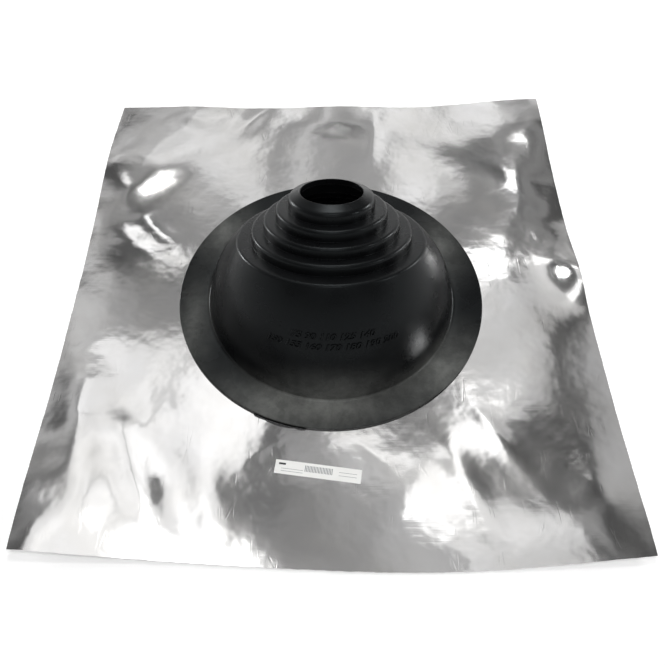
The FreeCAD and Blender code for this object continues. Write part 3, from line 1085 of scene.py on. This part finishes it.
@dataclass
class Adhesive:
    """The black adhesive under the brim, and the beads of it pressed out at the front.

    The beads run from start to end, in degrees left of the front.
    """

    boot: RubberBoot
    start: float = 9.0
    end: float = 27.0
    film_z: float = 0.8
    path_gap: float = 0.9
    path_steps: int = 96
    bead_radius: float = 1.25
    bead_lift: float = 0.15
    bead_count: int = 46
    bead_seed: int = 7
    least: tuple[float, float, float] = (0.55, 0.55, 0.35)
    most: tuple[float, float, float] = (1.7, 1.7, 0.75)

    def build(self, cured: bpy.types.Material) -> bpy.types.Object:
        """String ragged beads along the brim's edge over its tongue.

        Args:
            cured: The adhesive's finish.

        Returns:
            The beads.
        """
        tree = GeometryTree("adhesive_bead_path")
        radius = tree.add_input("Path Radius", "NodeSocketFloat",
                                (self.boot.brim_radius + self.path_gap) * MM)
        bead = tree.add_input("Bead Radius", "NodeSocketFloat", self.bead_radius * MM)
        count = tree.add_input("Beads", "NodeSocketInt", self.bead_count)
        seed = tree.add_input("Seed", "NodeSocketInt", self.bead_seed)
        centre = tree.add_input("Path Centre", "NodeSocketVector",
                                (0.0, self.boot.centre_y * MM, (self.film_z + self.bead_lift) * MM))
        finish = tree.add_input("Finish", "NodeSocketMaterial", cured)
        nodes = tree.tree
        path = add_node(nodes, "GeometryNodeCurveArc", {
            "Resolution": self.path_steps, "Radius": radius,
            "Start Angle": math.radians(270.0 - self.end),
            "Sweep Angle": math.radians(self.end - self.start)}, mode="RADIUS")
        placed = add_node(nodes, "GeometryNodeTransform", {"Geometry": path.outputs[0],
                                                           "Translation": centre})
        points = add_node(nodes, "GeometryNodeResampleCurve", {"Curve": placed.outputs[0], "Count": count})
        drop = add_node(nodes, "GeometryNodeMeshIcoSphere", {"Radius": bead, "Subdivisions": 3})
        size = add_node(nodes, "FunctionNodeRandomValue", {
            "Min": self.least, "Max": self.most, "Seed": seed}, data_type="FLOAT_VECTOR")
        beads = add_node(nodes, "GeometryNodeInstanceOnPoints", {
            "Points": points.outputs[0], "Instance": drop.outputs[0], "Scale": size.outputs[0]})
        piece = tree.run("adhesive_beads", beads.outputs[0], finish)
        piece.data.polygons.foreach_set("use_smooth", [True] * len(piece.data.polygons))
        finish_piece(piece, "adhesive")
        return piece


@dataclass
class PaperLabel:
    """The printed paper label on the front of the sheet: plain bars, stripes and rules."""

    x: float = -14.4
    y: float = -231.6
    top_z: float = 0.95
    turn: float = -8.0
    ink_height: float = 0.02

    def place(self, across: float, up: float) -> tuple[float, float, float]:
        """Find a place on the label.

        Args:
            across: How far it is along the label from its middle.
            up: How far it is across the label from its middle.

        Returns:
            Where it lies, in metres, half the ink's height over the paper.
        """
        turn = math.radians(self.turn)
        return ((self.x + across * math.cos(turn) - up * math.sin(turn)) * MM,
                (self.y + across * math.sin(turn) + up * math.cos(turn)) * MM,
                (self.top_z + self.ink_height / 2) * MM)

    def bars(self, name: str, across: float, up: float, count: int, step: float,
             bar: tuple[float, float], along: bool, ink: bpy.types.Material) -> bpy.types.Object:
        """Print a row of even bars.

        Args:
            name: The piece's name.
            across: Place of the row's middle along the label, from its middle.
            up: Place of the row's middle across the label, from its middle.
            count: How many bars there are.
            step: Distance from one bar to the next.
            bar: Length and width of a bar, along and across the label.
            along: Whether the row runs along the label, and not across it.
            ink: The ink.

        Returns:
            The bars.
        """
        tree = GeometryTree(name + "_row")
        number = tree.add_input("Bars", "NodeSocketInt", count)
        place = tree.add_input("Place", "NodeSocketVector", self.place(across, up))
        turn = tree.add_input("Turn", "NodeSocketVector", (0.0, 0.0, math.radians(self.turn)))
        size = tree.add_input("Bar Size", "NodeSocketVector",
                              (bar[0] * MM, bar[1] * MM, self.ink_height * MM))
        finish = tree.add_input("Ink", "NodeSocketMaterial", ink)
        nodes = tree.tree
        span = (count - 1) * step * MM
        first = (-span / 2, 0.0, 0.0) if along else (0.0, -span / 2, 0.0)
        offset = (step * MM, 0.0, 0.0) if along else (0.0, step * MM, 0.0)
        row = add_node(nodes, "GeometryNodeMeshLine", {"Count": number, "Start Location": first,
                                                       "Offset": offset}, mode="OFFSET")
        block = add_node(nodes, "GeometryNodeMeshCube", {"Size": size})
        printed = add_node(nodes, "GeometryNodeInstanceOnPoints", {"Points": row.outputs[0],
                                                                   "Instance": block.outputs[0]})
        laid = add_node(nodes, "GeometryNodeTransform", {"Geometry": printed.outputs[0],
                                                         "Translation": place, "Rotation": turn})
        piece = tree.run(name, laid.outputs[0], finish)
        finish_piece(piece, "label")
        return piece

    def build(self, black: bpy.types.Material, grey: bpy.types.Material) -> None:
        """Print the dark bar, the striped field and the faint rules.

        Args:
            black: The dark ink.
            grey: The thin, faint ink.
        """
        self.bars("label_dark_bar", -36.5, 3.4, 1, 1.0, (7.0, 2.0), True, black)
        self.bars("label_stripes", 0.5, 1.2, 19, 1.5, (0.75, 6.5), True, grey)
        self.bars("label_rules", -26.0, -2.6, 2, 2.6, (22.0, 0.35), False, grey)
        self.bars("label_rules_right", 30.0, 0.0, 2, 3.4, (18.0, 0.35), False, grey)


# ---------------------------------------------------------------- studio

class Lamp(Enum):
    """Which way a soft lamp hangs."""

    CEILING = "flat in the ceiling, where the flat sheet mirrors the given place"
    WALL = "facing the part from a given azimuth and elevation"


@dataclass(frozen=True)
class SoftBox:
    """A soft lamp.

    A ceiling lamp's place and size, in millimetres, are those of its image in the flat sheet. A
    wall lamp's are its azimuth and elevation in degrees and its true size. The azimuth is 0
    behind the part and runs round to the right.
    """

    name: str
    lamp: Lamp
    across: float
    along: float
    width: float
    length: float
    level: float
    turn: float = 0.0
    round: bool = False


def seen_rays(tree: bpy.types.NodeTree) -> bpy.types.NodeSocket:
    """Tell the rays that see or mirror a thing from those that carry its light.

    Args:
        tree: The node tree.

    Returns:
        A socket that is 1 for camera, glossy and transmission rays, and 0 otherwise.
    """
    rays = add_node(tree, "ShaderNodeLightPath").outputs
    seen = combine(tree, "MAXIMUM", rays["Is Camera Ray"], rays["Is Glossy Ray"])
    return combine(tree, "MAXIMUM", seen, rays["Is Transmission Ray"])


@dataclass
class Studio:
    """The camera, the white room, the pale floor, the grey ceiling cloth and the soft lamps.

    Ranges of distance from the middle of the floor are in metres.
    """

    camera_place: tuple[float, float, float] = (-6.0, -476.3, 620.0)
    yaw: float = 1.01
    pitch: float = 56.43
    roll: float = 0.72
    lens: float = 35.36
    sensor: float = 36.0
    ceiling: float = 2000.0
    lamp_step: float = 4.0
    wall: float = 2600.0
    sky_level: float = 0.12
    horizon_level: float = 0.5
    pale_height: float = 0.75
    cloth_half: float = 8000.0
    cloth_height: float = 2300.0
    cloth_stretch: tuple[float, float, float] = (1.5, 0.75, 1.0)
    clouds_per_metre: float = 0.95
    cloud_levels: tuple[float, float] = (-0.03, 0.42)
    floor_colour: str = "#f7f7f7"
    floor_half: float = 40000.0
    floor_z: float = -0.3
    glow_range: tuple[float, float] = (0.6, 3.0)
    glow_levels: tuple[float, float] = (0.22, 1.0)

    def camera(self) -> None:
        """Place the camera and make it the scene's."""
        yaw, pitch, roll = (math.radians(angle) for angle in (self.yaw, self.pitch, self.roll))
        forward = Vector((math.sin(yaw) * math.cos(pitch), math.cos(yaw) * math.cos(pitch), -math.sin(pitch)))
        level_right = Vector((math.cos(yaw), -math.sin(yaw), 0.0))
        level_up = level_right.cross(forward)
        right = math.cos(roll) * level_right + math.sin(roll) * level_up
        up = math.cos(roll) * level_up - math.sin(roll) * level_right
        data = bpy.data.cameras.new("camera")
        data.lens = self.lens
        data.sensor_width = self.sensor
        data.clip_start = 0.01
        camera = bpy.data.objects.new("camera", data)
        turn = Matrix((right, up, -forward)).transposed().to_4x4()
        camera.matrix_world = Matrix.Translation(Vector(self.camera_place) * MM) @ turn
        bpy.context.scene.collection.objects.link(camera)
        bpy.context.scene.camera = camera

    def boxes(self) -> list[SoftBox]:
        """List the lamps.

        Returns:
            The ceiling lamps from the lowest up, and then the wall lamps.
        """
        top, side = Lamp.CEILING, Lamp.WALL
        return [
            SoftBox("front_fill", top, 0.0, -640.0, 615.0, 300.0, 0.35),
            SoftBox("over_the_boot", top, -4.0, -32.0, 190.0, 190.0, 13.0, round=True),
            SoftBox("ring_edge_lamp", top, 0.0, -445.0, 170.0, 52.0, 14.0),
            SoftBox("grey_ceiling", top, 0.0, 375.0, 700.0, 490.0, 0.28),
            SoftBox("left_back_strip", top, -125.0, 230.0, 80.0, 260.0, 0.32),
            SoftBox("right_back_strip", top, 104.0, 240.0, 54.0, 260.0, 0.35),
            SoftBox("left_gap_light", top, -236.0, -34.0, 150.0, 76.0, 0.22),
            SoftBox("left_bay_inner", top, -112.0, -250.0, 88.0, 350.0, 0.95),
            SoftBox("left_bay_outer", top, -212.0, -235.0, 100.0, 330.0, 0.95),
            SoftBox("front_corner_lamp", top, -104.0, -335.0, 84.0, 100.0, 2.2, round=True),
            SoftBox("front_apron", top, 48.0, -214.0, 200.0, 62.0, 0.20),
            SoftBox("front_brim_lamp", top, 42.0, -201.0, 84.0, 22.0, 0.9, turn=-14.0),
            SoftBox("front_middle", top, 32.0, -290.0, 190.0, 250.0, 0.06),
            SoftBox("front_strip", top, 124.0, -212.0, 52.0, 170.0, 1.2, turn=-25.0),
            SoftBox("right_front", top, 150.0, -330.0, 60.0, 150.0, 0.6, turn=12.0),
            SoftBox("right_bay", top, 188.0, -80.0, 96.0, 160.0, 0.55),
            SoftBox("right_brim_lamp", top, 166.0, 28.0, 56.0, 46.0, 1.7),
            SoftBox("left_brim_lamp", top, -196.0, 50.0, 56.0, 30.0, 1.4, turn=-35.0),
            SoftBox("back_wall", side, 0.0, 9.0, 4200.0, 700.0, 0.06),
            SoftBox("front_window", side, 180.0, 42.0, 1600.0, 300.0, 5.5),
            SoftBox("right_window", side, 105.0, 29.0, 420.0, 420.0, 17.0),
            SoftBox("right_low_lamp", side, 59.0, 18.0, 900.0, 460.0, 20.0),
            SoftBox("left_low_lamp", side, -53.0, 10.0, 760.0, 420.0, 32.0),
        ]

    def hang(self, box: SoftBox, ceiling: float) -> bpy.types.Object:
        """Make a lamp and put it in its place.

        Args:
            box: The lamp's facts.
            ceiling: Its height, if it hangs in the ceiling.

        Returns:
            The lamp.
        """
        data = bpy.data.lights.new(box.name, "AREA")
        data.shape = "ELLIPSE" if box.round else "RECTANGLE"
        lamp = bpy.data.objects.new(box.name, data)
        if box.lamp is Lamp.CEILING:
            over = ceiling / self.camera_place[2]
            scale = 1.0 + over
            place = Vector((box.across * scale - self.camera_place[0] * over,
                            box.along * scale - self.camera_place[1] * over, ceiling))
            lamp.rotation_euler = (0.0, 0.0, math.radians(box.turn))
        else:
            scale = 1.0
            azimuth, elevation = math.radians(box.across), math.radians(box.along)
            place = self.wall * Vector((math.sin(azimuth) * math.cos(elevation),
                                        math.cos(azimuth) * math.cos(elevation), math.sin(elevation)))
            lamp.rotation_euler = (-place).to_track_quat("-Z", "Y").to_euler()
        data.size = box.width * scale * MM
        data.size_y = box.length * scale * MM
        # A lamp's power over pi times its area is the level that it shows in a mirror.
        data.energy = box.level * math.pi * data.size * data.size_y * (math.pi / 4 if box.round else 1.0)
        lamp.location = place * MM
        bpy.context.scene.collection.objects.link(lamp)
        return lamp

    def sky(self) -> None:
        """Make the room: dim for the light it gives, and white where it is seen or mirrored."""
        world = bpy.data.worlds.new("room")
        world.use_nodes = True
        bpy.context.scene.world = world
        tree = world.node_tree
        direction = add_node(tree, "ShaderNodeTexCoord").outputs["Generated"]
        height = add_node(tree, "ShaderNodeSeparateXYZ", {"Vector": direction}).outputs["Z"]
        level = spread(tree, height, (0.0, self.pale_height), (self.horizon_level, self.sky_level),
                       "SMOOTHSTEP")
        feed(tree, tree.nodes["Background"], {
            "Color": linear("#ffffff"), "Strength": combine(tree, "MAXIMUM", level, seen_rays(tree))})

    @staticmethod
    def board(name: str, half: float, height: float, material: bpy.types.Material, shown: bool) -> None:
        """Stage a level square board.

        Args:
            name: The board's name.
            half: Half the length of its side.
            height: Its height.
            material: Its finish.
            shown: Whether the camera sees it.
        """
        corners = [(-half, -half, height), (half, -half, height), (half, half, height),
                   (-half, half, height)]
        piece = mesh_object(name, np.array(corners), [(0, 1, 2, 3)], material)
        piece.visible_camera = shown

    def overhead(self) -> None:
        """Hang a grey cloth above the lamps, which the bright sheet mirrors.

        Only mirrored rays meet its clouds, and the light that it gives is even.
        """
        material, tree, shader = new_material("ceiling_cloth")
        place = add_node(tree, "ShaderNodeMapping", {"Vector": object_place(tree),
                                                     "Scale": self.cloth_stretch}).outputs["Vector"]
        cloud = clouds(tree, place, 1000 / self.clouds_per_metre, 2.5, 0.55, 0.9)
        tone = spread(tree, cloud, (0.36, 0.66), self.cloud_levels, "SMOOTHSTEP")
        feed(tree, shader, {
            "Base Color": linear("#000000"),
            "Roughness": 1.0,
            "Specular IOR Level": 0.0,
            "Emission Color": linear("#ffffff"),
            "Emission Strength": combine(tree, "MULTIPLY_ADD", tone, seen_rays(tree), self.sky_level)})
        self.board("ceiling", self.cloth_half, self.cloth_height, material, shown=False)

    def floor(self) -> None:
        """Lay a large pale floor just under the part, which is seen whiter the farther out it is."""
        material, tree, shader = new_material("floor_paper")
        away = add_node(tree, "ShaderNodeVectorMath", {0: object_place(tree)}, operation="LENGTH")
        glow = spread(tree, away.outputs["Value"], self.glow_range, self.glow_levels, "SMOOTHSTEP")
        feed(tree, shader, {
            "Base Color": linear(self.floor_colour),
            "Roughness": 0.9,
            "Emission Color": linear("#ffffff"),
            "Emission Strength": combine(tree, "MULTIPLY", seen_rays(tree), glow)})
        self.board("floor", self.floor_half, self.floor_z, material, shown=True)

    def build(self) -> None:
        """Set up the whole studio."""
        self.camera()
        self.sky()
        self.overhead()
        self.floor()
        # Lamps in one plane would hide each other in a mirror, so each hangs a little higher.
        for level, box in enumerate(self.boxes()):
            self.hang(box, self.ceiling + self.lamp_step * level)


# ---------------------------------------------------------------- the part

def dress(frame: dict, node: str, material: bpy.types.Material) -> None:
    """Give a CAD node its finish.

    Args:
        node: The node's name.
        material: The finish.
    """
    piece = frame["nodes"][node]
    piece.data.materials.clear()
    piece.data.materials.append(material)


def main() -> None:
    """Build the studio and every piece of the part."""
    logging.basicConfig(level=logging.INFO, format="%(name)s: %(message)s")
    bpy.ops.wm.read_factory_settings(use_empty=True)
    bpy.context.scene.view_settings.view_transform = "Standard"
    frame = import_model()

    Studio().build()
    rubber = Epdm().make("moulded_epdm")
    aluminium = MillAluminium().make("mill_aluminium")
    cured = PlainFinish("#0c0c0d", "#141415", roughness=0.22, mottle_mm=6.0).make("cured_adhesive")
    paper = PlainFinish("#f1f1ef", "#e7e7e4", roughness=0.55, mottle_mm=18.0).make("label_paper")
    black_ink = PlainFinish("#1b1b1c", "#262627", roughness=0.5, mottle_mm=2.0).make("black_ink")
    grey_ink = PlainFinish("#74777b", "#85888b", roughness=0.5, mottle_mm=2.0).make("grey_ink")

    boot = RubberBoot()
    boot.build(rubber)
    boot.emboss("pipe_sizes_upper", "75 90 110 125 140", share=0.607, height=8.2, width=86.0, rubber=rubber)
    boot.emboss("pipe_sizes_lower", "150 155 160 170 180 190 200", share=0.522, height=8.2, width=138.0,
                rubber=rubber)
    FlashingSheet().build(aluminium)
    dress(frame, ADHESIVE_NODE, cured)
    Adhesive(boot).build(cured)
    dress(frame, LABEL_NODE, paper)
    PaperLabel().build(black_ink, grey_ink)


if __name__ == "__main__":
    main()
